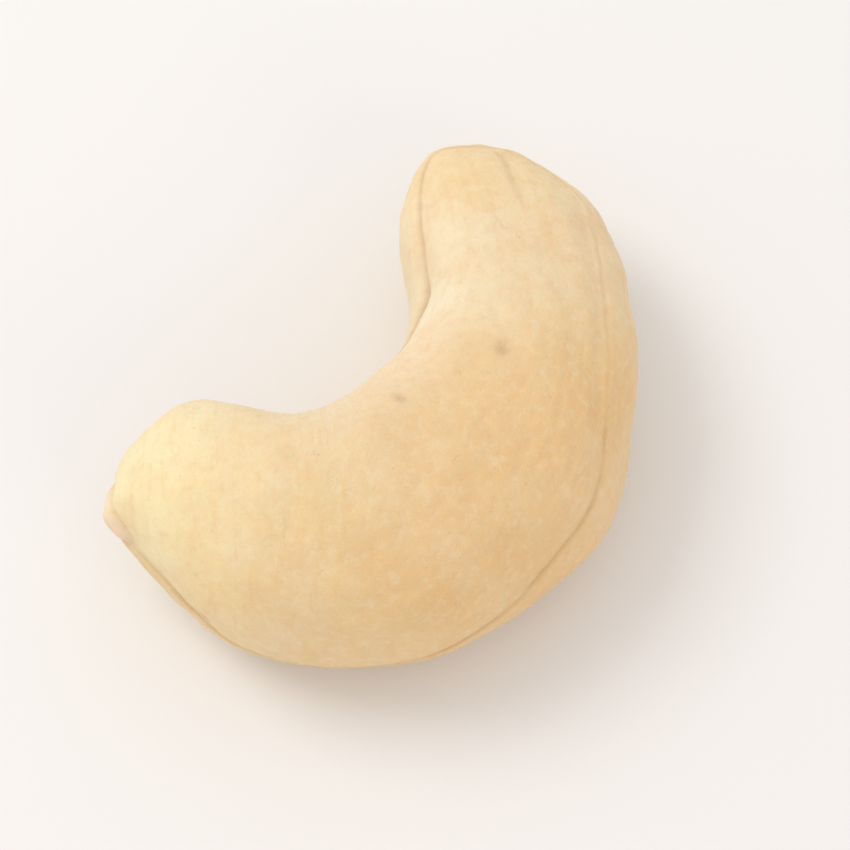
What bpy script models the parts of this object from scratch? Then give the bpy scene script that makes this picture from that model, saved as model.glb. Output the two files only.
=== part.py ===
"""A shelled cashew kernel, lying on its flat side.

The kernel is one closed body: two seed leaves grown face to face, with the small
germ nub between them at the blunt end. It is a sphere drawn out along a bent spine
that lies where the seed leaves meet. Lengths are millimetres up to the last step,
which turns them into metres.

Frame: +X runs along the kernel from its blunt end to its slim end, +Y points to the
open side of its bend, +Z is up, and z = 0 is the surface that it rests on.
"""

from math import asin, atan2, copysign, cos, exp, hypot, pi, radians, sin

import bmesh
import bpy
from mathutils import Vector

NAME = "cashew_kernel"
METRES_PER_MM = 0.001

# Spine: how far it runs, and how it turns from the blunt end to the slim end
SPINE_LENGTH = 30.1
BLUNT_HEADING = radians(-43.0)
SLIM_HEADING = radians(56.0)
BEND_START = 0.24
BEND_END = 0.79
SPINE_STEPS = 400

# Half sizes of the section at even stations from the blunt end to the slim end
OUTER_HALF_WIDTHS = (1.4, 4.9, 6.3, 6.75, 6.85, 6.2, 5.9, 5.55, 3.8)
INNER_HALF_WIDTHS = (5.4, 5.1, 3.1, 4.0, 4.8, 4.15, 3.3, 3.3, 3.0)
UPPER_HALF_HEIGHTS = (5.2, 5.7, 5.5, 4.8, 4.2, 3.8)
LOWER_HALF_HEIGHTS = (5.2, 5.5, 5.6, 5.6, 5.4, 5.0)
BLUNT_ROUNDING = 7.5
SLIM_ROUNDING = 5.8
ROUNDING_POWER = 2.25
SECTION_POWER = 2.2
LOWER_FULLNESS = 0.10

# Course of the seam between the seed leaves, at even stations: its height above the spine's
# lowest course, and how steeply it climbs across the kernel to the outer side
SEAM_RISES = (0.3, -0.4, -0.2, -0.1, 1.15, 2.4, 2.65, 2.5, 2.0)
SEAM_CLIMBS = (-0.1, -0.3, -0.38, -0.3, -0.02, 0.18, 0.08, -0.08, -0.02)

# The seam is a groove, shallow on the slim half, and the upper leaf is set back a little
GROOVE_DEPTHS = (0.40, 0.40, 0.36, 0.24, 0.22, 0.22)
GROOVE_HALF_WIDTH = 0.42
STEP_HEIGHT = 0.13
STEP_RUN = 0.5
STEP_REACH = 2.0

# Inside the bend the groove deepens into a slit, which fades out towards both ends
SLIT_DEPTH = 0.55
SLIT_START = 0.16
SLIT_END = 0.78
SLIT_FADE = 0.12

# Germ nub at the blunt end, with the ring-shaped hollow round it
NUB_HEADING = radians(-35.0)
NUB_HALF_LENGTH = 1.5
NUB_HALF_HEIGHT = 1.2
NUB_HEIGHT = 0.3
NUB_RING_REACH = 1.1
NUB_RING_DEPTH = 0.16
NUB_RING_WIDTH = 0.3
SEAM_END_REACH = 0.9

# Slow swells and hollows of the skin: waves by their rates along X, Y and Z, and phase
SWELL_HEIGHT = 0.11
SWELLS = ((0.55, 0.20, 0.35, 0.4), (-0.30, 0.62, 0.45, 2.1), (0.25, -0.70, 0.80, 4.0))

# Distances up the skin are taken from heights, on skin that counts as at least this steep
LEAST_STEEPNESS = 0.4

# Small bulges and dents of the outline: distance along the spine, reach to the outer side,
# radius and height
EDGE_BUMPS = (
    (20.1, 6.1, 1.3, 0.13),
    (18.2, 6.4, 0.9, -0.18),
    (16.5, 6.6, 1.2, 0.08),
    (13.8, 6.8, 1.3, -0.14),
    (11.2, 6.6, 1.4, 0.14),
    (26.5, -3.2, 1.3, 0.14),
)

# Three low places that the kernel rests on, pressed flat
LOW_PLACE_FIRST = 0.17
LOW_PLACE_SPACING = 0.33
ARCH_HEIGHT = 0.3
FLAT_DEPTH = 0.24

# Fineness of the mesh, with its lengthwise lines drawn together towards the seam
RINGS = 68
SIDES = 48
SEAM_CROWDING = 0.3
SMALLEST_SHARE = 0.05
HIGHEST_SEAM = 0.7

# Stretch inside the bend that is smoothed, because the sections crowd together there
RELAX_START = 0.3
RELAX_END = 0.78
RELAX_SIDE = 0.2
RELAX_PASSES = 12

# Stretches at both tips that are softened last, because the seam and nub cross the rings there
BLUNT_TIP_END = 0.035
SLIM_TIP_START = 0.94
TIP_PASSES = 3

SKIN_COLOUR = (0.83, 0.66, 0.42, 1.0)
SKIN_ROUGHNESS = 0.55


def clear_scene():
    for item in list(bpy.data.objects):
        bpy.data.objects.remove(item, do_unlink=True)


def ease(value):
    """Rise from 0 to 1 with level ends."""
    value = min(max(value, 0.0), 1.0)
    return value * value * (3.0 - 2.0 * value)


def along(stations, u):
    """Read a list of evenly spaced station values as one smooth curve."""
    last = len(stations) - 1
    place = min(max(u, 0.0), 1.0) * last
    index = min(int(place), last - 1)
    part = place - index
    before = stations[max(index - 1, 0)]
    start = stations[index]
    end = stations[index + 1]
    after = stations[min(index + 2, last)]
    rise_start = (end - before) / (2.0 if index > 0 else 1.0)
    rise_end = (after - start) / (2.0 if index + 2 <= last else 1.0)
    square = part * part
    cube = square * part
    return (
        (2.0 * cube - 3.0 * square + 1.0) * start
        + (cube - 2.0 * square + part) * rise_start
        + (3.0 * square - 2.0 * cube) * end
        + (cube - square) * rise_end
    )


def heading(u):
    """Direction of the spine in the XY plane."""
    turned = ease((u - BEND_START) / (BEND_END - BEND_START))
    return BLUNT_HEADING + (SLIM_HEADING - BLUNT_HEADING) * turned


def spine_points():
    """Walk along the spine in short steps; the points are (x, y) from its blunt tip."""
    step = SPINE_LENGTH / SPINE_STEPS
    points = [(0.0, 0.0)]
    for index in range(SPINE_STEPS):
        angle = heading((index + 0.5) / SPINE_STEPS)
        x, y = points[-1]
        points.append((x + step * cos(angle), y + step * sin(angle)))
    return points


def spine_at(points, u):
    place = u * SPINE_STEPS
    index = min(int(place), SPINE_STEPS - 1)
    part = place - index
    x0, y0 = points[index]
    x1, y1 = points[index + 1]
    return x0 + (x1 - x0) * part, y0 + (y1 - y0) * part


def rounding(distance, length):
    """Share of the full section at a distance from a tip that is rounded over a length."""
    left = max(1.0 - distance / length, 0.0)
    return (1.0 - left ** ROUNDING_POWER) ** (1.0 / ROUNDING_POWER)


def section_share(u):
    """Draw the section in to nothing at both tips."""
    from_blunt_tip = u * SPINE_LENGTH
    from_slim_tip = SPINE_LENGTH - from_blunt_tip
    return rounding(from_blunt_tip, BLUNT_ROUNDING) * rounding(from_slim_tip, SLIM_ROUNDING)


def arch(u):
    """Height by which the spine is lifted between the low places."""
    turn = 2.0 * pi * (u - LOW_PLACE_FIRST) / LOW_PLACE_SPACING
    return ARCH_HEIGHT * (0.5 - 0.5 * cos(turn))


def spine_height(u):
    return along(LOWER_HALF_HEIGHTS, u) + arch(u) - FLAT_DEPTH


def skin_point(points, u, side):
    """Point of the smooth skin, at a share of the spine and an angle round it."""
    across = copysign(abs(cos(side)) ** (2.0 / SECTION_POWER), cos(side))
    rise = copysign(abs(sin(side)) ** (2.0 / SECTION_POWER), sin(side))
    widths = OUTER_HALF_WIDTHS if across > 0.0 else INNER_HALF_WIDTHS
    heights = UPPER_HALF_HEIGHTS if rise > 0.0 else LOWER_HALF_HEIGHTS
    if rise < 0.0:
        across *= 1.0 + LOWER_FULLNESS * abs(sin(2.0 * side))
    size = section_share(u)
    reach = size * across * along(widths, u)
    height = spine_height(u) + size * rise * along(heights, u)
    x, y = spine_at(points, u)
    angle = heading(u)
    return Vector((x + reach * sin(angle), y - reach * cos(angle), height))


def seam_rise(u, reach):
    """Height of the seam above the spine, at a reach from the spine to the outer side."""
    return along(SEAM_RISES, u) - arch(u) + along(SEAM_CLIMBS, u) * reach


def seam_angles(u):
    """Angles up from the spine's level to the seam, on the outer and on the inner skin."""
    size = max(section_share(u), SMALLEST_SHARE)
    angles = []
    for direction, widths in ((1.0, OUTER_HALF_WIDTHS), (-1.0, INNER_HALF_WIDTHS)):
        rise = seam_rise(u, direction * size * along(widths, u))
        heights = UPPER_HALF_HEIGHTS if rise > 0.0 else LOWER_HALF_HEIGHTS
        share = min(abs(rise) / (size * along(heights, u)), HIGHEST_SEAM)
        angles.append(copysign(asin(share ** (SECTION_POWER / 2.0)), rise))
    return angles


def line_angle(u, turn):
    """Angle round the section of a lengthwise line, drawn towards the seam."""
    outer_angle, inner_angle = seam_angles(u)
    outer_share = 0.5 + 0.5 * cos(turn)
    shift = outer_share * outer_angle - (1.0 - outer_share) * inner_angle
    return turn + shift - SEAM_CROWDING * sin(2.0 * turn)


def outward_reach(points, u, place):
    """How far a place lies from the spine to the outer side of the bend."""
    x, y = spine_at(points, u)
    angle = heading(u)
    return (place.x - x) * sin(angle) - (place.y - y) * cos(angle)


def slit_share(u, side):
    """Rise to 1 on the inner side of the bend, between the ends of the slit."""
    inner_side = ease(-2.0 * cos(side))
    return inner_side * ease((u - SLIT_START) / SLIT_FADE) * ease((SLIT_END - u) / SLIT_FADE)


def seam_relief(u, side, above_seam):
    """Groove, slit and step of the seam, at a distance up the skin from it."""
    depth = along(GROOVE_DEPTHS, u) + SLIT_DEPTH * slit_share(u, side)
    groove = depth * exp(-((above_seam / GROOVE_HALF_WIDTH) ** 2))
    step = STEP_HEIGHT * ease(above_seam / STEP_RUN) * (1.0 - ease(above_seam / STEP_REACH))
    return -groove - step


def edge_relief(u, reach):
    """Small bulges and dents of the outline."""
    total = 0.0
    for distance, bump_reach, radius, height in EDGE_BUMPS:
        gap = hypot(u * SPINE_LENGTH - distance, reach - bump_reach)
        total += height * exp(-((gap / radius) ** 2))
    return total


def nub_reach(offset):
    """Distance from the blunt tip, where 1 is the edge of the oval germ nub."""
    return hypot(hypot(offset.x, offset.y) / NUB_HALF_LENGTH, offset.z / NUB_HALF_HEIGHT)


def nub_relief(reach):
    """Rounded germ nub with a ring-shaped hollow at its foot."""
    nub = NUB_HEIGHT * (1.0 - min(reach, 1.0) ** 2)
    ring = NUB_RING_DEPTH * exp(-(((reach - NUB_RING_REACH) / NUB_RING_WIDTH) ** 2))
    return nub - ring


def swell_relief(point):
    total = 0.0
    for rate_x, rate_y, rate_z, phase in SWELLS:
        total += sin(rate_x * point.x + rate_y * point.y + rate_z * point.z + phase)
    return SWELL_HEIGHT * total / len(SWELLS)


def draw_out_sphere(form, points):
    """Draw a sphere out along the spine; return each vertex's place on the skin."""
    bmesh.ops.create_uvsphere(form, u_segments=SIDES, v_segments=RINGS, radius=1.0)
    places = {}
    for vertex in form.verts:
        u = 0.5 - 0.5 * vertex.co.z
        side = line_angle(u, atan2(vertex.co.y, vertex.co.x))
        places[vertex] = (u, side)
        vertex.co = skin_point(points, u, side)
    return places


def relax_inner_bend(form, places):
    """Smooth the skin inside the bend, and leave its heights as they are."""
    crowded = []
    for vertex, (u, side) in places.items():
        if RELAX_START < u < RELAX_END and cos(side) < RELAX_SIDE:
            crowded.append(vertex)
    for _ in range(RELAX_PASSES):
        bmesh.ops.smooth_vert(
            form, verts=crowded, factor=0.5, use_axis_x=True, use_axis_y=True, use_axis_z=False
        )


def raise_relief(form, places, points):
    """Press in the seam, raise the nub and swell the skin, then flatten what lies low."""
    bmesh.ops.recalc_face_normals(form, faces=form.faces)
    form.normal_update()
    blunt_tip = skin_point(points, 0.0, 0.0)
    nub_axis = Vector((-cos(NUB_HEADING), -sin(NUB_HEADING), 0.0))
    targets = []
    for vertex in form.verts:
        u, side = places[vertex]
        reach = outward_reach(points, u, vertex.co)
        above_seam = vertex.co.z - spine_height(u) - seam_rise(u, reach)
        above_seam /= max(hypot(vertex.normal.x, vertex.normal.y), LEAST_STEEPNESS)
        from_nub = nub_reach(vertex.co - blunt_tip)
        relief = seam_relief(u, side, above_seam) * ease(from_nub - SEAM_END_REACH)
        relief += swell_relief(vertex.co) + edge_relief(u, reach)
        targets.append(vertex.co + vertex.normal * relief + nub_axis * nub_relief(from_nub))
    for vertex, target in zip(form.verts, targets):
        vertex.co = target
        vertex.co.z = max(vertex.co.z, 0.0)


def soften_tips(form, places):
    """Soften the relief where the rings are smallest."""
    tips = [
        vertex for vertex, (u, _) in places.items()
        if u < BLUNT_TIP_END or u > SLIM_TIP_START
    ]
    for _ in range(TIP_PASSES):
        bmesh.ops.smooth_vert(
            form, verts=tips, factor=0.5, use_axis_x=True, use_axis_y=True, use_axis_z=True
        )


def set_on_origin(form):
    """Centre the kernel over the origin and turn its lengths into metres."""
    middle = Vector((0.0, 0.0, 0.0))
    for axis in (0, 1):
        spread = [vertex.co[axis] for vertex in form.verts]
        middle[axis] = (min(spread) + max(spread)) / 2.0
    for vertex in form.verts:
        vertex.co = (vertex.co - middle) * METRES_PER_MM


def build_kernel():
    points = spine_points()
    form = bmesh.new()
    places = draw_out_sphere(form, points)
    relax_inner_bend(form, places)
    raise_relief(form, places, points)
    soften_tips(form, places)
    set_on_origin(form)
    bmesh.ops.triangulate(form, faces=form.faces)
    bmesh.ops.recalc_face_normals(form, faces=form.faces)

    mesh = bpy.data.meshes.new(NAME)
    form.to_mesh(mesh)
    form.free()
    mesh.shade_smooth()
    kernel = bpy.data.objects.new(NAME, mesh)
    bpy.context.scene.collection.objects.link(kernel)
    return kernel


def skin_material():
    material = bpy.data.materials.new("cashew_skin")
    material.use_nodes = True
    shader = material.node_tree.nodes["Principled BSDF"]
    shader.inputs["Base Color"].default_value = SKIN_COLOUR
    shader.inputs["Roughness"].default_value = SKIN_ROUGHNESS
    shader.inputs["Metallic"].default_value = 0.0
    material.diffuse_color = SKIN_COLOUR
    return material


def main():
    clear_scene()
    kernel = build_kernel()
    kernel.data.materials.append(skin_material())


main()
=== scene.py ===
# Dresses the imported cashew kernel: its fine skin, its finish, the floor, the light and the camera.
# Shapes are worked out in millimetres and handed to Blender in metres.
from math import cos, pi, radians, sin

import bmesh
import bpy
import numpy as np
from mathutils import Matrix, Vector, noise


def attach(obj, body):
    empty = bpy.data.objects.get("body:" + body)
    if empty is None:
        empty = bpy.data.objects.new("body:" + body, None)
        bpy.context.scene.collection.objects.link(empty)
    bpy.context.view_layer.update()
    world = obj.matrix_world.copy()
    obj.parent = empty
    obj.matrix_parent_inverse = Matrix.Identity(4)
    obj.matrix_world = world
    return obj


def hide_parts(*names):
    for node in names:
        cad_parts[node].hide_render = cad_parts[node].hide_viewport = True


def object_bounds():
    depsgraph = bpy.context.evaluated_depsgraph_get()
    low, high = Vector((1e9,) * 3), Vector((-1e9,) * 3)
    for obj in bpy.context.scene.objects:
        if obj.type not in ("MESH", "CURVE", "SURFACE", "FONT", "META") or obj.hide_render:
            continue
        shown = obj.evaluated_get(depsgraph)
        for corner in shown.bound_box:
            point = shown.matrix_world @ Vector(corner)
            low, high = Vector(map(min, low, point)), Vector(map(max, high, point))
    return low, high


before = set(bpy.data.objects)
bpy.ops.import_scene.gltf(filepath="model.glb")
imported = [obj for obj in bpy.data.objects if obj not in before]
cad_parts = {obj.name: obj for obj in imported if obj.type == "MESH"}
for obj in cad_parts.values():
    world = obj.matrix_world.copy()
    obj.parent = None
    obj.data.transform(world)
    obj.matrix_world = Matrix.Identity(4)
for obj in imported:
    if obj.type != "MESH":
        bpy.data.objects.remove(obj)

CAD_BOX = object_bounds()
NODE = "cashew_kernel"
METRES_PER_MM = 0.001

# Spine: how far it runs, and how it turns from the blunt end to the slim end
SPINE_LENGTH = 30.1
BLUNT_HEADING = radians(-43.0)
SLIM_HEADING = radians(56.0)
BEND_START = 0.24
BEND_END = 0.79
SPINE_STEPS = 600

# Half sizes of the section at even stations from the blunt end to the slim end
OUTER_HALF_WIDTHS = (1.4, 4.9, 6.3, 6.75, 6.85, 6.2, 5.9, 5.55, 3.8)
INNER_HALF_WIDTHS = (5.4, 5.1, 3.1, 4.0, 4.8, 4.15, 3.3, 3.3, 3.0)
UPPER_HALF_HEIGHTS = (5.2, 5.7, 5.5, 4.8, 4.2, 3.8)
LOWER_HALF_HEIGHTS = (5.2, 5.5, 5.6, 5.6, 5.4, 5.0)
BLUNT_ROUNDING = 7.5
SLIM_ROUNDING = 5.8
ROUNDING_POWER = 2.25
SECTION_POWER = 2.2
LOWER_FULLNESS = 0.10

# Three low places that the kernel rests on, pressed flat
LOW_PLACE_FIRST = 0.17
LOW_PLACE_SPACING = 0.33
ARCH_HEIGHT = 0.3
FLAT_DEPTH = 0.24

# Cage that is subdivided into the skin, with its lengthwise lines drawn a little to the sides
CAGE_SIDES = 40
CAGE_RINGS = 37
CAGE_LEVELS = 3
SIDE_CROWDING = 0.1

# Stretch inside the bend that is smoothed, because the rings crowd together there
RELAX_START = 0.3
RELAX_END = 0.78
RELAX_REACH = 0.9
RELAX_PASSES = 5

# Slow swells and hollows of the skin: waves by their rates along X, Y and Z, and phase
SWELL_HEIGHT = 0.11
SWELLS = ((0.55, 0.20, 0.35, 0.4), (-0.30, 0.62, 0.45, 2.1), (0.25, -0.70, 0.80, 4.0))

# Distances up the skin are taken from heights, on skin that counts as at least this steep
LEAST_STEEPNESS = 0.4

# Small bulges and dents of the outline: distance along the spine, reach to the outer side,
# radius and height
EDGE_BUMPS = (
    (20.1, 6.1, 1.3, 0.13),
    (18.2, 6.4, 0.9, -0.18),
    (16.5, 6.6, 1.2, 0.08),
    (13.8, 6.8, 1.3, -0.14),
    (11.2, 6.6, 1.4, 0.14),
    (26.5, -3.2, 1.3, 0.14),
)

# Course of the seam between the seed leaves, at even stations: its height above the spine's
# lowest course, and how steeply it climbs across the kernel to the outer side
SEAM_RISES = (0.3, -0.4, -0.2, -0.1, 1.15, 2.4, 2.65, 2.5, 2.0)
SEAM_CLIMBS = (-0.1, -0.3, -0.38, -0.3, -0.02, 0.18, 0.08, -0.08, -0.02)
SEAM_WANDER = 0.13
SEAM_WANDER_LUMP = 2.6

# The seam is a fine cut in a soft valley, faint along the slim half and fainter on its outer
# side, and the upper leaf is set back a little from the lower
CUT_DEPTH = 0.24
CUT_HALF_WIDTH = 0.12
VALLEY_DEPTH = 0.10
VALLEY_HALF_WIDTH = 0.36
SEAM_STRENGTHS = (1.0, 1.0, 0.9, 0.5, 0.45, 0.5)
OUTER_FADE = 0.45
OUTER_FADE_REACH = 3.0
OUTER_FADE_START = 0.35
OUTER_FADE_RUN = 0.15
SEAM_UNEVENNESS = 0.45
SEAM_LUMP = 1.7
STEP_HEIGHT = 0.13
STEP_RUN = 0.35
STEP_REACH = 2.0

# Slit inside the bend
SLIT_DEPTH = 0.9
SLIT_HALF_WIDTH = 0.22
SLIT_UNEVENNESS = 0.4
SLIT_LUMP = 2.2
SLIT_START = 0.16
SLIT_END = 0.78
SLIT_FADE = 0.12
SLIT_SIDE = 1.5

# Germ nub at the blunt end, with the ring-shaped hollow round it
NUB_HEADING = radians(-35.0)
NUB_HALF_LENGTH = 1.4
NUB_HALF_HEIGHT = 1.1
NUB_HEIGHT = 0.32
NUB_RING_REACH = 1.04
NUB_RING_DEPTH = 0.10
NUB_RING_WIDTH = 0.17
NUB_UNEVENNESS = 0.10
NUB_LUMP = 1.3
NUB_TINT_START = 0.75
NUB_TINT_RUN = 0.35
SEAM_END_REACH = 0.95

# The skin is kept to this share of the CAD model's box, if its relief takes it past that
FIT_SHARE = 0.9995

# Fine relief of the skin: lumps from coarse to fine, stronger towards both ends, and wrinkles
LUMP_SIZES = (2.4, 0.9, 0.4)
LUMP_HEIGHTS = (0.070, 0.026, 0.007)
LUMP_STRENGTHS = (1.5, 1.0, 0.9, 1.3, 1.4, 1.4)
CROSS_WRINKLE = (0.42, 3.0, 0.018)
CROSS_WRINKLE_END = 0.45
CROSS_WRINKLE_COVER = 0.5
CROSS_WRINKLE_PATCH = 5.0
LONG_WRINKLE = (5.0, 0.42, 0.034)
LONG_WRINKLE_SPREAD = (0.28, 0.72)
LONG_WRINKLE_REACH = 2.5
WRINKLE_FADE = 0.12

# Small dents of the upper skin, and bulges where the depth is below zero: distance along the
# spine, reach to the outer side, height over the seam, radius, depth and the painted shade laid in it
DENTS = (
    (18.21, 0.51, 2.5, 0.34, 0.140, 0.60),
    (18.60, 0.15, 2.5, 0.50, -0.060, 0.0),
    (13.27, -1.59, 4.4, 0.30, 0.080, 0.55),
    (13.75, 2.00, 4.4, 0.24, 0.030, 0.22),
    (7.80, 0.15, 5.8, 0.60, 0.040, 0.10),
    (8.70, -1.10, 5.2, 0.28, 0.035, 0.16),
    (3.82, 4.42, 0.77, 0.32, 0.045, 0.70),
    (22.60, 2.20, 1.4, 0.45, 0.035, 0.08),
    (12.50, -2.90, 3.9, 1.00, -0.060, 0.0),
    (15.20, -3.20, 2.9, 0.90, -0.060, 0.0),
)

# Oval scar near the slim tip: its place, and the radius and width of its broken rim
SCAR_PLACE = (27.0, -1.75, 0.6)
SCAR_RADIUS = 0.75
SCAR_RIM = 0.16
SCAR_DEPTH = 0.03
SCAR_COVER = 0.4
SCAR_LUMP = 0.9

# Short crease from the slim tip on to the upper leaf
CREASE_START = (28.7, 1.6)
CREASE_END = (25.1, 1.9)
CREASE_DEPTH = 0.05
CREASE_WIDTH = 0.16
CREASE_RISE = 0.6
CREASE_FADE = 0.7

# Painted shade laid in the seam, the nub's ring, the scar and the crease, and how far past its
# width the painted shade of a groove spreads
SEAM_PAINTED_SHADE = 0.8
NUB_RING_PAINTED_SHADE = 0.32
SCAR_PAINTED_SHADE = 0.15
CREASE_PAINTED_SHADE = 0.4
PAINTED_SHADE_SPREAD = 1.3

# Seeds of the random values
WANDER_SEED = 1
SEAM_SEED = 2
SLIT_SEED = 3
LUMP_SEED = 5
PATCH_SEED = 9
CROSS_SEED = 10
LONG_SEED = 12
SCAR_SEED = 14
NUB_SEED = 15

# Camera: at the photograph's angle, and the width that it takes in at the kernel
VIEW_AZIMUTH = radians(-45.0)
VIEW_ELEVATION = radians(66.0)
LENS = 135.0
SENSOR_WIDTH = 36.0
VIEW_WIDTH = 0.036
VIEW_HEIGHT = 0.0052
NEAREST_SEEN = 0.01
FARTHEST_SEEN = 10.0

# Floor, a trace below the kernel, and the light of the room
FLOOR_SIZE = 3.0
FLOOR_DROP = 0.00002
ROOM_COLOUR = (1.0, 0.975, 0.955, 1.0)
ROOM_STRENGTH = 0.80

# Soft lights: name, azimuth and height in degrees, distance, size, power and colour
LIGHTS = (
    ("key_light", 202.0, 55.0, 0.30, 0.14, 0.27, (1.0, 0.99, 0.965)),
    ("warm_fill", -5.0, 32.0, 0.30, 0.14, 0.075, (1.0, 0.90, 0.78)),
)

# Mix node sockets of the colour kind
MIX_FACTOR = 0
MIX_FIRST = 6
MIX_SECOND = 7
MIX_RESULT = 2


# Small helpers

def ease(value):
    """Rise from 0 to 1 with level ends."""
    value = np.clip(value, 0.0, 1.0)
    return value * value * (3.0 - 2.0 * value)


def bell(distance, width):
    """1 at no distance, and nearly nothing past two widths."""
    return np.exp(-((distance / width) ** 2))


def along(stations, u):
    """Read a list of evenly spaced station values as one smooth curve."""
    stations = np.asarray(stations)
    last = len(stations) - 1
    place = np.clip(u, 0.0, 1.0) * last
    index = np.minimum(np.floor(place).astype(int), last - 1)
    part = place - index
    slopes = np.gradient(stations)
    square = part * part
    cube = square * part
    return (
        (2.0 * cube - 3.0 * square + 1.0) * stations[index]
        + (cube - 2.0 * square + part) * slopes[index]
        + (3.0 * square - 2.0 * cube) * stations[index + 1]
        + (cube - square) * slopes[index + 1]
    )


def lumps(points, size, seed):
    """Smooth random value, about -1 to 1, at each point, with lumps of a given size."""
    spots = np.asarray(points) / size + seed * 17.31
    return 1.6 * np.array([noise.noise(spot) for spot in spots.tolist()])


# Form of the kernel

def heading(u):
    """Direction of the spine in the XY plane."""
    turned = ease((u - BEND_START) / (BEND_END - BEND_START))
    return BLUNT_HEADING + (SLIM_HEADING - BLUNT_HEADING) * turned


def walk_spine():
    """Walk along the spine in short steps: shares of its length, and X and Y there."""
    step = SPINE_LENGTH / SPINE_STEPS
    angles = heading((np.arange(SPINE_STEPS) + 0.5) / SPINE_STEPS)
    shares = np.linspace(0.0, 1.0, SPINE_STEPS + 1)
    x = np.concatenate([[0.0], np.cumsum(step * np.cos(angles))])
    y = np.concatenate([[0.0], np.cumsum(step * np.sin(angles))])
    return shares, x, y


def arch(u):
    """Height by which the spine is lifted between the low places."""
    turn = 2.0 * pi * (u - LOW_PLACE_FIRST) / LOW_PLACE_SPACING
    return ARCH_HEIGHT * (0.5 - 0.5 * np.cos(turn))


def spine_height(u):
    return along(LOWER_HALF_HEIGHTS, u) + arch(u) - FLAT_DEPTH


def spine_point(spine, u):
    shares, x, y = spine
    return np.interp(u, shares, x), np.interp(u, shares, y), spine_height(u)


def seam_rise(u, reach):
    """Height of the seam above the spine, at a reach from the spine to the outer side."""
    return along(SEAM_RISES, u) - arch(u) + along(SEAM_CLIMBS, u) * reach


def section_share(u):
    """Draw the section in to nothing at both tips."""
    share = 1.0
    for distance, length in ((u, BLUNT_ROUNDING), (1.0 - u, SLIM_ROUNDING)):
        left = np.clip(1.0 - distance * SPINE_LENGTH / length, 0.0, 1.0)
        share = share * (1.0 - left ** ROUNDING_POWER) ** (1.0 / ROUNDING_POWER)
    return share


def ring_sizes(u):
    """Half widths to the outer and inner side, and half heights up and down."""
    stations = (OUTER_HALF_WIDTHS, INNER_HALF_WIDTHS, UPPER_HALF_HEIGHTS, LOWER_HALF_HEIGHTS)
    return [float(section_share(u) * along(values, u)) for values in stations]


def places_of(spine, points):
    """Place of each point: share of the spine, reach to its outer side, height over the seam."""
    shares, x, y = spine
    u = np.empty(len(points))
    batch = 4000
    for start in range(0, len(points), batch):
        part = points[start:start + batch]
        gap = (part[:, :1] - x) ** 2 + (part[:, 1:2] - y) ** 2
        u[start:start + batch] = shares[gap.argmin(axis=1)]
    at_x, at_y, _ = spine_point(spine, u)
    lag = (points[:, 0] - at_x) * np.cos(heading(u)) + (points[:, 1] - at_y) * np.sin(heading(u))
    u = np.clip(u + lag / SPINE_LENGTH, 0.0, 1.0)
    at_x, at_y, height = spine_point(spine, u)
    reach = (points[:, 0] - at_x) * np.sin(heading(u)) - (points[:, 1] - at_y) * np.cos(heading(u))
    return u, reach, points[:, 2] - height - seam_rise(u, reach)


# Modelling by hand: the cage of the skin

def select_where(cage, wanted):
    """Select only the vertices that pass a test, with the edges between them."""
    form = bmesh.from_edit_mesh(cage.data)
    form.verts.ensure_lookup_table()
    for vertex in form.verts:
        vertex.select = wanted(vertex)
    form.select_flush_mode()
    bmesh.update_edit_mesh(cage.data)


def press_first_ring(cage):
    """Press the first ring, a circle that stands on edge, to the kernel's rounded section."""
    form = bmesh.from_edit_mesh(cage.data)
    for vertex in form.verts:
        side = np.arctan2(vertex.co.z, vertex.co.x)
        side -= SIDE_CROWDING * np.sin(2.0 * side)
        across = np.sign(np.cos(side)) * abs(np.cos(side)) ** (2.0 / SECTION_POWER)
        rise = np.sign(np.sin(side)) * abs(np.sin(side)) ** (2.0 / SECTION_POWER)
        if rise < 0.0:
            across *= 1.0 + LOWER_FULLNESS * abs(np.sin(2.0 * side))
        vertex.co = Vector((across, 0.0, rise)) * METRES_PER_MM
    bmesh.update_edit_mesh(cage.data)


def resize_half(cage, newest, centre, direction, factors):
    """Resize the half of the newest ring that lies to one side of its centre."""
    def in_half(vertex):
        return vertex.index >= newest and (vertex.co - centre).dot(direction) > 1e-9
    select_where(cage, in_half)
    bpy.ops.transform.resize(value=factors, center_override=centre)


def shape_ring(cage, newest, centre, angle, factors):
    """Fit the newest ring to its section: outer, inner, upper and lower half in turn."""
    outer = Vector((sin(angle), -cos(angle), 0.0))
    up = Vector((0.0, 0.0, 1.0))
    wide_out, wide_in, tall_up, tall_down = factors
    resize_half(cage, newest, centre, outer, (wide_out, wide_out, 1.0))
    resize_half(cage, newest, centre, -outer, (wide_in, wide_in, 1.0))
    resize_half(cage, newest, centre, up, (1.0, 1.0, tall_up))
    resize_half(cage, newest, centre, -up, (1.0, 1.0, tall_down))
    select_where(cage, lambda vertex: vertex.index >= newest)


def relax_inner_bend(cage, spine):
    """Smooth the cage inside the bend, and leave its heights as they are."""
    form = bmesh.from_edit_mesh(cage.data)
    points = np.array([vertex.co for vertex in form.verts]) / METRES_PER_MM
    u, reach, _ = places_of(spine, points)
    crowded = (u > RELAX_START) & (u < RELAX_END) & (reach < RELAX_REACH)
    select_where(cage, lambda vertex: bool(crowded[vertex.index]))
    bpy.ops.mesh.vertices_smooth(factor=0.5, repeat=RELAX_PASSES, zaxis=False)


def close_tip(cage, ring, tip):
    """Draw an open end ring in to one point at the tip."""
    select_where(cage, ring)
    bpy.ops.mesh.extrude_edges_indiv()
    bpy.ops.mesh.merge(type="CENTER")
    form = bmesh.from_edit_mesh(cage.data)
    middle = next(vertex.co.copy() for vertex in form.verts if vertex.select)
    bpy.ops.transform.translate(value=tip - middle)


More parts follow.
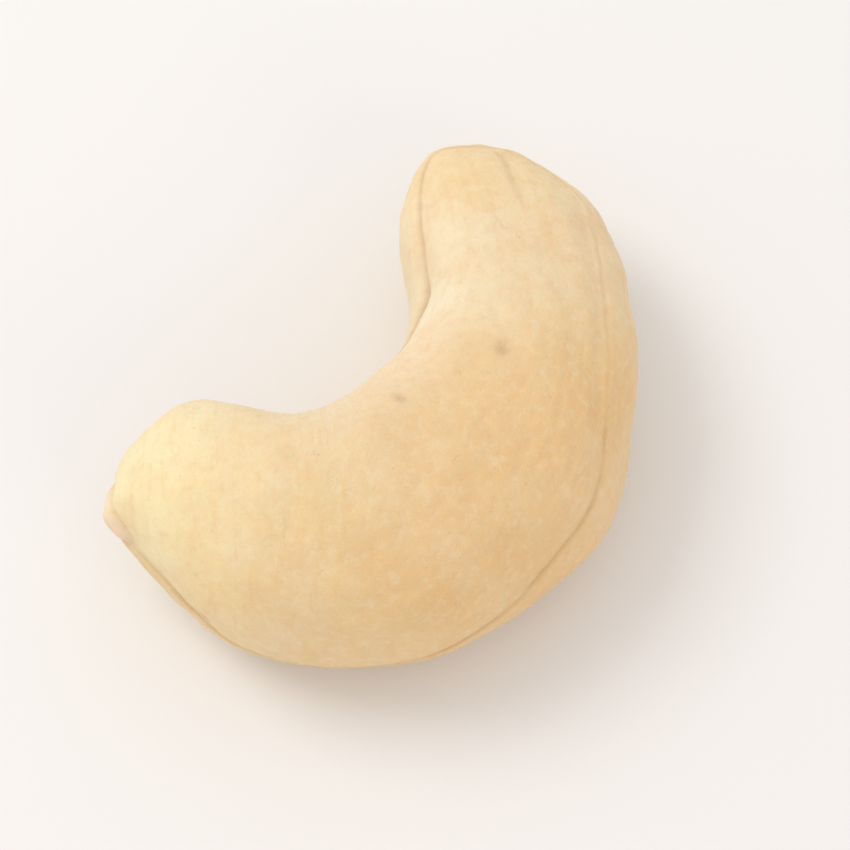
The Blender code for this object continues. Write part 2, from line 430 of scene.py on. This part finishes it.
def lay_cage(spine):
    """Extrude a ring along the spine, and carry, turn and resize it at each station."""
    bpy.ops.object.select_all(action="DESELECT")
    bpy.ops.mesh.primitive_circle_add(
        vertices=CAGE_SIDES, radius=METRES_PER_MM, rotation=(pi / 2.0, 0.0, 0.0)
    )
    cage = bpy.context.active_object
    cage.name = "kernel_skin"
    bpy.ops.object.transform_apply(location=False, rotation=True, scale=False)
    bpy.ops.object.mode_set(mode="EDIT")
    press_first_ring(cage)

    at = Vector((0.0, 0.0, 0.0))
    facing = pi / 2.0
    sizes = [1.0, 1.0, 1.0, 1.0]
    stations = 0.5 - 0.5 * np.cos(pi * np.arange(1, CAGE_RINGS + 1) / (CAGE_RINGS + 1))
    for number, u in enumerate(stations):
        if number:
            bpy.ops.mesh.extrude_edges_indiv()
        centre = Vector([float(value) for value in spine_point(spine, u)]) * METRES_PER_MM
        bpy.ops.transform.translate(value=centre - at)
        angle = float(heading(u))
        bpy.ops.transform.rotate(value=facing - angle, orient_axis="Z", center_override=centre)
        wanted = ring_sizes(u)
        factors = [new / old for new, old in zip(wanted, sizes)]
        shape_ring(cage, number * CAGE_SIDES, centre, angle, factors)
        at = centre
        facing = angle
        sizes = wanted

    relax_inner_bend(cage, spine)
    blunt_tip, slim_tip = (
        Vector([float(value) for value in spine_point(spine, u)]) * METRES_PER_MM
        for u in (0.0, 1.0)
    )
    last_ring = (CAGE_RINGS - 1) * CAGE_SIDES
    close_tip(cage, lambda vertex: vertex.index >= last_ring, slim_tip)
    close_tip(cage, lambda vertex: vertex.index < CAGE_SIDES, blunt_tip)
    bpy.ops.mesh.select_all(action="SELECT")
    bpy.ops.mesh.normals_make_consistent(inside=False)
    bpy.ops.object.mode_set(mode="OBJECT")
    return cage


def subdivide(skin):
    finer = skin.modifiers.new("finer", "SUBSURF")
    finer.levels = CAGE_LEVELS
    finer.render_levels = CAGE_LEVELS
    bpy.ops.object.modifier_apply(modifier=finer.name)
    bpy.ops.object.shade_smooth()


# Relief of the skin

def seam_relief(points, normals, places):
    """Cut, valley, slit and step of the seam; also how much painted shade each point gets in the seam
    and slit.
    """
    u, reach, above = places
    flat = points * (1.0, 1.0, 0.0)
    above = above - SEAM_WANDER * lumps(flat, SEAM_WANDER_LUMP, WANDER_SEED)
    above = above / np.maximum(np.hypot(normals[:, 0], normals[:, 1]), LEAST_STEEPNESS)
    outer_slim = ease(reach / OUTER_FADE_REACH) * ease((u - OUTER_FADE_START) / OUTER_FADE_RUN)
    strength = along(SEAM_STRENGTHS, u) * (1.0 - OUTER_FADE * outer_slim)
    strength = strength * (1.0 + SEAM_UNEVENNESS * lumps(flat, SEAM_LUMP, SEAM_SEED))
    cut = CUT_DEPTH * strength * bell(above, CUT_HALF_WIDTH)
    valley = VALLEY_DEPTH * strength * bell(above, VALLEY_HALF_WIDTH)
    inside = ease(-reach / SLIT_SIDE) * ease((u - SLIT_START) / SLIT_FADE)
    inside = inside * ease((SLIT_END - u) / SLIT_FADE)
    slit_width = SLIT_HALF_WIDTH * (1.0 + SLIT_UNEVENNESS * lumps(flat, SLIT_LUMP, SLIT_SEED))
    slit = SLIT_DEPTH * inside * bell(above, slit_width)
    step = STEP_HEIGHT * ease(above / STEP_RUN) * (1.0 - ease(above / STEP_REACH))
    # Painted shade in the seam's cut and along the slit, by how deep each point lies in them
    painted_shade = SEAM_PAINTED_SHADE * strength * bell(above, PAINTED_SHADE_SPREAD * CUT_HALF_WIDTH)
    painted_shade = painted_shade + inside * bell(above, PAINTED_SHADE_SPREAD * slit_width)
    return -(cut + valley + slit + step), np.clip(painted_shade, 0.0, 1.0)


def nub_relief(reach):
    """Rounded germ nub with a ring-shaped hollow at its foot."""
    nub = NUB_HEIGHT * (1.0 - np.minimum(reach, 1.0) ** 2)
    return nub - NUB_RING_DEPTH * bell(reach - NUB_RING_REACH, NUB_RING_WIDTH)


def swell_relief(points):
    total = 0.0
    for rate_x, rate_y, rate_z, phase in SWELLS:
        total = total + np.sin(points @ (rate_x, rate_y, rate_z) + phase)
    return SWELL_HEIGHT * total / len(SWELLS)


def edge_relief(straight):
    """Small bulges and dents of the outline."""
    total = 0.0
    for distance, reach, radius, height in EDGE_BUMPS:
        gap = np.hypot(straight[:, 0] - distance, straight[:, 1] - reach)
        total = total + height * bell(gap, radius)
    return total


def wrinkles(straight, wrinkle, seed):
    """Wrinkles of a length along the kernel, a width round it and a height."""
    length, width, height = wrinkle
    return height * lumps(straight / (length, width, width), 1.0, seed)


def fine_relief(points, straight):
    """Lumps of the skin, and its wrinkles across and along the kernel."""
    total = 0.0
    for number, (size, height) in enumerate(zip(LUMP_SIZES, LUMP_HEIGHTS)):
        total = total + height * lumps(points, size, LUMP_SEED + number)
    u = straight[:, 0] / SPINE_LENGTH
    total = total * along(LUMP_STRENGTHS, u)
    patches = ease(CROSS_WRINKLE_COVER + lumps(points, CROSS_WRINKLE_PATCH, PATCH_SEED))
    patches = patches * ease((CROSS_WRINKLE_END - u) / WRINKLE_FADE)
    total = total + patches * wrinkles(straight, CROSS_WRINKLE, CROSS_SEED)
    first, last = LONG_WRINKLE_SPREAD
    patches = ease((u - first) / WRINKLE_FADE) * ease((last - u) / WRINKLE_FADE)
    patches = patches * ease(straight[:, 1] / LONG_WRINKLE_REACH)
    return total + patches * wrinkles(straight, LONG_WRINKLE, LONG_SEED)


def small_marks(straight):
    """Small dents of the upper skin, scar and crease near the slim tip, and the painted shade laid in
    them.
    """
    relief = 0.0
    mark_shade = 0.0
    # Each dent is also darkened with painted shade; the scar's rim and the crease get theirs below
    for *place, radius, depth, shade_share in DENTS:
        near = bell(np.linalg.norm(straight - place, axis=1), radius)
        relief = relief - depth * near
        mark_shade = mark_shade + shade_share * near
    gap = np.linalg.norm(straight - SCAR_PLACE, axis=1) - SCAR_RADIUS
    rim = bell(gap, SCAR_RIM) * ease(SCAR_COVER + lumps(straight, SCAR_LUMP, SCAR_SEED))
    start = np.array(CREASE_START)
    course = np.array(CREASE_END) - start
    offset = straight[:, :2] - start
    share = np.clip(offset @ course / (course @ course), 0.0, 1.0)
    gap = np.linalg.norm(offset - share[:, None] * course, axis=1)
    line = bell(gap, CREASE_WIDTH) * ease(straight[:, 2] / CREASE_RISE) * (1.0 - CREASE_FADE * share)
    relief = relief - SCAR_DEPTH * rim - CREASE_DEPTH * line
    return relief, mark_shade + SCAR_PAINTED_SHADE * rim + CREASE_PAINTED_SHADE * line


def note_on_points(skin, name, kind, values):
    """Keep a value on each point of the skin, for its finish to read."""
    attribute = skin.data.attributes.new(name, kind, "POINT")
    word = "vector" if kind == "FLOAT_VECTOR" else "value"
    attribute.data.foreach_set(word, np.asarray(values, dtype=np.float32).ravel())


def keep_in_box(points):
    """Shrink the skin a trace if it is past the CAD model's box, and set it where that is."""
    room = (np.array(CAD_BOX[1]) - np.array(CAD_BOX[0])) / METRES_PER_MM
    taken = points.max(axis=0) - points.min(axis=0)
    points = points * min(1.0, FIT_SHARE * float((room / taken).min()))
    middle = (points.min(axis=0) + points.max(axis=0)) / 2.0
    middle[2] = 0.0
    wanted = np.array((CAD_BOX[0] + CAD_BOX[1]) / 2.0)
    wanted[2] = 0.0
    return (points - middle) * METRES_PER_MM + wanted


def raise_relief(skin, spine):
    """Give the smooth skin its seam, nub, swells and wrinkles, and note where they are, with the
    painted shade of its grooves and dents.
    """
    count = len(skin.data.vertices)
    points = np.empty(count * 3)
    normals = np.empty(count * 3)
    skin.data.vertices.foreach_get("co", points)
    skin.data.vertices.foreach_get("normal", normals)
    points = points.reshape(count, 3) / METRES_PER_MM
    normals = normals.reshape(count, 3)

    u, reach, above = places_of(spine, points)
    straight = np.stack([u * SPINE_LENGTH, reach, above], axis=1)
    offset = points - spine_point(spine, 0.0)
    flat_gap = np.hypot(offset[:, 0], offset[:, 1])
    nub_reach = np.hypot(flat_gap / NUB_HALF_LENGTH, offset[:, 2] / NUB_HALF_HEIGHT)
    nub_reach = nub_reach * (1.0 + NUB_UNEVENNESS * lumps(points, NUB_LUMP, NUB_SEED))
    seam, painted_shade = seam_relief(points, normals, (u, reach, above))
    off_nub = ease(nub_reach - SEAM_END_REACH)
    marks, mark_shade = small_marks(straight)
    relief = seam * off_nub + swell_relief(points) + edge_relief(straight)
    relief = relief + fine_relief(points, straight) + marks
    nub_axis = np.array((-cos(NUB_HEADING), -sin(NUB_HEADING), 0.0))
    points = points + normals * relief[:, None] + nub_axis * nub_relief(nub_reach)[:, None]
    points[:, 2] = np.maximum(points[:, 2], 0.0)

    skin.data.vertices.foreach_set("co", keep_in_box(points).ravel())
    skin.data.update()

    # Painted shade in the ring-shaped hollow round the nub, joined to that of the seam, slit and
    # dents
    ring = bell(nub_reach - NUB_RING_REACH, PAINTED_SHADE_SPREAD * NUB_RING_WIDTH)
    note_on_points(skin, "straight", "FLOAT_VECTOR", straight)
    painted_shade = painted_shade * off_nub + NUB_RING_PAINTED_SHADE * ring + mark_shade
    note_on_points(skin, "painted_shade", "FLOAT", np.clip(painted_shade, 0.0, 1.0))
    nub = 1.0 - ease((nub_reach - NUB_TINT_START) / NUB_TINT_RUN)
    note_on_points(skin, "nub", "FLOAT", nub)


# Finishes

class Wire:
    """A value on its way between the nodes of a finish; sums on wires add Math nodes."""

    def __init__(self, tree, socket=None):
        self.tree = tree
        self.socket = socket

    def node(self, kind, settings, sockets, give=0):
        """Add a node, set it, feed its sockets with wires or values, and return one output."""
        made = self.tree.nodes.new("ShaderNode" + kind)
        for name, value in settings.items():
            setattr(made, name, value)
        for name, value in sockets.items():
            if isinstance(value, Wire):
                self.tree.links.new(value.socket, made.inputs[name])
            else:
                made.inputs[name].default_value = value
        return Wire(self.tree, made.outputs[give])

    def maths(self, operation, first, second):
        return self.node("Math", {"operation": operation}, {0: first, 1: second})

    def __add__(self, other):
        return self.maths("ADD", self, other)

    def __sub__(self, other):
        return self.maths("SUBTRACT", self, other)

    def __rsub__(self, other):
        return self.maths("SUBTRACT", other, self)

    def __mul__(self, other):
        return self.maths("MULTIPLY", self, other)

    __radd__ = __add__
    __rmul__ = __mul__

    def between(self, low, high):
        """Rise smoothly from 0 to 1 as this value goes from low to high."""
        sockets = {"Value": self, "From Min": low, "From Max": high}
        return self.node("MapRange", {"interpolation_type": "SMOOTHSTEP"}, sockets)

    def part(self, axis):
        """This place's measure on one axis."""
        return self.node("SeparateXYZ", {}, {0: self}, axis)

    def scaled(self, size_x, size_y, size_z):
        """This place divided by a size on each axis."""
        sizes = (1.0 / size_x, 1.0 / size_y, 1.0 / size_z)
        return self.node("VectorMath", {"operation": "MULTIPLY"}, {0: self, 1: sizes})

    def grain(self, size, detail=2.0, rough=0.5):
        """Even random value, 0 to 1, over this place, with lumps of a given size."""
        sockets = {"Vector": self, "Scale": 1.0 / size, "Detail": detail, "Roughness": rough}
        return self.node("TexNoise", {"normalize": True}, sockets)

    def tinted(self, colour, share):
        """This colour with a share of another one laid over it."""
        sockets = {MIX_FACTOR: share, MIX_FIRST: self, MIX_SECOND: colour}
        return self.node("Mix", {"data_type": "RGBA"}, sockets, MIX_RESULT)


CREAM = (0.800, 0.598, 0.318, 1.0)
PALE = (0.895, 0.785, 0.570, 1.0)
# Cream of the painted highlight on the lip above the slit
HIGHLIGHT_CREAM = (0.960, 0.870, 0.660, 1.0)
STRAW = (0.925, 0.690, 0.325, 1.0)
# Yellow of the blunt end's upper side, partly its own tone and partly painted highlight
BUTTER_AND_HIGHLIGHT = (0.970, 0.865, 0.510, 1.0)
TAN = (0.790, 0.455, 0.175, 1.0)
ROSE = (0.950, 0.720, 0.560, 1.0)
# Brown of the painted shade laid in grooves and dents
PAINTED_SHADE_BROWN = (0.420, 0.200, 0.075, 1.0)
SPECK_BROWN = (0.330, 0.190, 0.090, 1.0)
FLOOR_COLOUR = (0.875, 0.865, 0.862, 1.0)
SKIN_SUBSURFACE = 0.18
SKIN_SUBSURFACE_RADIUS = (1.0, 0.5, 0.25)
SKIN_SUBSURFACE_DEPTH = 0.0012
TOOTH_DEPTH = 0.00006

# Where the tints of the skin come and go: in millimetres along the kernel
BLUNT_STRETCH = (1.0, 8.0)
UPRIGHT_STRETCH = (9.0, 14.0)
CORNER_RISE = (8.0, 13.0)
CORNER_FALL = (17.0, 21.0)
# Painted highlight along the lip above the slit lies between these
CREST_HIGHLIGHT_RISE = (8.5, 12.5)
CREST_HIGHLIGHT_FALL = (21.0, 25.0)
SLIM_STRETCH = (17.0, 23.0)
TIP_STRETCH = (23.5, 27.5)

# Across it, from its inner to its outer side
INNER_REACH = (-3.5, 2.5)
OUTER_REACH = (1.0, 6.5)
CREST_HIGHLIGHT_REACH = (-3.4, -0.6)

# And up from the seam
BLUNT_HEIGHT = (-0.6, 1.0)
CREST_HIGHLIGHT_HEIGHT = (0.0, 1.4)


def new_finish(name):
    """A bare material: its node tree's start wire and its shader."""
    material = bpy.data.materials.new(name)
    material.use_nodes = True
    shader = material.node_tree.nodes["Principled BSDF"]
    return material, Wire(material.node_tree), shader


def feed(wire, shader, name):
    wire.tree.links.new(wire.socket, shader.inputs[name])


def skin_finish():
    """Raw kernel skin: cream, mottled straw and tan, with painted shade in its creases, a painted
    highlight on the lip above the slit, and a fine grain.
    """
    material, start, shader = new_finish("kernel_skin")
    place = start.node("TexCoord", {}, {}, "Object")
    place = place.node("VectorMath", {"operation": "SCALE"}, {0: place, "Scale": 1.0 / METRES_PER_MM})
    straight = start.node("Attribute", {"attribute_name": "straight"}, {}, "Vector")
    # The painted shade of grooves and dents, noted on the skin's points
    painted_shade = start.node("Attribute", {"attribute_name": "painted_shade"}, {}, "Fac")
    nub = start.node("Attribute", {"attribute_name": "nub"}, {}, "Fac")

    distance = straight.part("X")
    reach = straight.part("Y")
    height = straight.part("Z")
    # Outer side: its tan is partly the skin's own tone, partly painted shade of the side turned from
    # the light
    outer = reach.between(*OUTER_REACH)
    inner = 1.0 - reach.between(*INNER_REACH)
    # Painted highlight on the lip above the slit, inside the bend
    crest_highlight = (1.0 - reach.between(*CREST_HIGHLIGHT_REACH)) * height.between(*CREST_HIGHLIGHT_HEIGHT)
    crest_highlight = crest_highlight * distance.between(*CREST_HIGHLIGHT_RISE) * (1.0 - distance.between(*CREST_HIGHLIGHT_FALL))
    # Blunt end's upper side: partly its own yellow tone, partly painted highlight of the light from
    # the left
    blunt_tone_and_highlight = (1.0 - distance.between(*BLUNT_STRETCH)) * height.between(*BLUNT_HEIGHT)
    slim = distance.between(*SLIM_STRETCH)
    tip = distance.between(*TIP_STRETCH)
    # Bend's corner: its tan is partly the skin's own tone, partly painted shade
    corner = distance.between(*CORNER_RISE) * (1.0 - distance.between(*CORNER_FALL))
    upright = 1.0 - distance.between(*UPRIGHT_STRETCH)
    broad = place.grain(6.0, 2.0).between(0.35, 0.68)
    cloudy = place.scaled(1.0, 1.0, 1.3).grain(2.3, 4.0, 0.6).between(0.38, 0.72)
    clumps = place.grain(1.1, 3.0, 0.6).between(0.42, 0.66)
    fine = place.grain(0.42, 5.0, 0.65)
    streaks = straight.scaled(0.35, 2.2, 2.2).grain(1.0, 3.0, 0.55).between(0.45, 0.78)
    lines = straight.scaled(7.0, 0.4, 0.4).grain(1.0, 3.0, 0.5).between(0.48, 0.80)
    specks = place.grain(0.16, 1.0).between(0.735, 0.80) * place.grain(3.1, 1.0).between(0.45, 0.62)

    # Tints laid over the cream one by one, each with its greatest share and where it lies
    layers = (
        (PALE, 0.45, broad),
        (TAN, 0.20, cloudy),
        (STRAW, 0.26, clumps),
        (PALE, 0.48, inner),
        # Painted highlight: the lip above the slit, pale where it catches the light
        (HIGHLIGHT_CREAM, 0.80, crest_highlight),
        (PALE, 0.50, slim),
        (STRAW, 0.35, tip),
        # Yellow on the blunt end's upper side: partly the skin's own tone, partly painted highlight
        (BUTTER_AND_HIGHLIGHT, 0.66, blunt_tone_and_highlight),
        (TAN, 0.22, cloudy * (slim + blunt_tone_and_highlight + crest_highlight)),
        # Tan of the outer side and the bend's corner: partly the skin's own tone, partly painted
        # shade
        (TAN, 0.13, outer),
        (TAN, 0.30, corner),
        (TAN, 0.20, streaks * upright),
        (TAN, 0.20, lines * (1.0 - upright)),
        (TAN, 0.20, fine.between(0.48, 0.70)),
        (PALE, 0.22, 1.0 - fine.between(0.32, 0.50)),
        (ROSE, 0.50, nub),
        (SPECK_BROWN, 0.35, specks),
        # Painted shade: brown laid in the seam, slit, nub ring, dents, scar and crease, where shade
        # falls
        (PAINTED_SHADE_BROWN, 0.62, painted_shade),
    )
    colour = start.node("RGB", {}, {}).tinted(CREAM, 1.0)
    for tint, share, where in layers:
        colour = colour.tinted(tint, share * where)
    feed(colour, shader, "Base Color")
    feed(0.50 + 0.16 * fine + 0.06 * cloudy, shader, "Roughness")

    pits = place.grain(0.5, 2.0).between(0.64, 0.76)
    tooth = 0.45 * place.grain(0.13, 4.0, 0.6) + 0.8 * fine - 0.35 * pits + 0.35 * streaks * upright
    sockets = {"Strength": 1.0, "Distance": TOOTH_DEPTH, "Height": tooth}
    bump = start.node("Bump", {}, sockets, "Normal")
    feed(bump, shader, "Normal")
    shader.inputs["Subsurface Weight"].default_value = SKIN_SUBSURFACE
    shader.inputs["Subsurface Radius"].default_value = SKIN_SUBSURFACE_RADIUS
    shader.inputs["Subsurface Scale"].default_value = SKIN_SUBSURFACE_DEPTH
    return material


def floor_finish():
    """Pale matt board with a trace of tooth."""
    material, start, shader = new_finish("pale_floor")
    place = start.node("TexCoord", {}, {}, "Object")
    tooth = place.grain(0.0012, 3.0)
    shader.inputs["Base Color"].default_value = FLOOR_COLOUR
    feed(0.75 + 0.1 * tooth, shader, "Roughness")
    return material


# The piece and its stage

def dress_kernel():
    spine = walk_spine()
    skin = lay_cage(spine)
    subdivide(skin)
    raise_relief(skin, spine)
    skin.data.materials.append(skin_finish())
    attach(skin, "root")
    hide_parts(NODE)


def lay_floor():
    bpy.ops.object.select_all(action="DESELECT")
    bpy.ops.mesh.primitive_plane_add(size=FLOOR_SIZE, location=(0.0, 0.0, -FLOOR_DROP))
    floor = bpy.context.active_object
    floor.name = "floor"
    bpy.ops.object.transform_apply(location=True)
    floor.data.materials.append(floor_finish())


def add_soft_light(name, azimuth, elevation, distance, size, power, colour):
    """A square soft light that faces the kernel from a side and height in degrees."""
    turn = radians(azimuth)
    rise = radians(elevation)
    away = Vector((sin(turn) * cos(rise), -cos(turn) * cos(rise), sin(rise)))
    bpy.ops.object.light_add(type="AREA", location=away * distance)
    lamp = bpy.context.active_object
    lamp.name = name
    lamp.rotation_euler = away.to_track_quat("Z", "Y").to_euler()
    lamp.data.size = size
    lamp.data.energy = power
    lamp.data.color = colour


def light_studio():
    world = bpy.data.worlds.new("pale_room")
    world.use_nodes = True
    room = world.node_tree.nodes["Background"]
    room.inputs["Color"].default_value = ROOM_COLOUR
    room.inputs["Strength"].default_value = ROOM_STRENGTH
    bpy.context.scene.world = world
    for light in LIGHTS:
        add_soft_light(*light)
    bpy.context.scene.view_settings.view_transform = "Standard"


def set_camera():
    away = Vector((
        sin(VIEW_AZIMUTH) * cos(VIEW_ELEVATION),
        -cos(VIEW_AZIMUTH) * cos(VIEW_ELEVATION),
        sin(VIEW_ELEVATION),
    ))
    distance = VIEW_WIDTH * LENS / SENSOR_WIDTH
    target = Vector((0.0, 0.0, VIEW_HEIGHT))
    bpy.ops.object.camera_add(location=target + away * distance)
    camera = bpy.context.active_object
    camera.name = "camera"
    camera.rotation_euler = away.to_track_quat("Z", "Y").to_euler()
    camera.data.lens = LENS
    camera.data.sensor_width = SENSOR_WIDTH
    camera.data.clip_start = NEAREST_SEEN
    camera.data.clip_end = FARTHEST_SEEN
    bpy.context.scene.camera = camera


set_camera()
lay_floor()
light_studio()
dress_kernel()
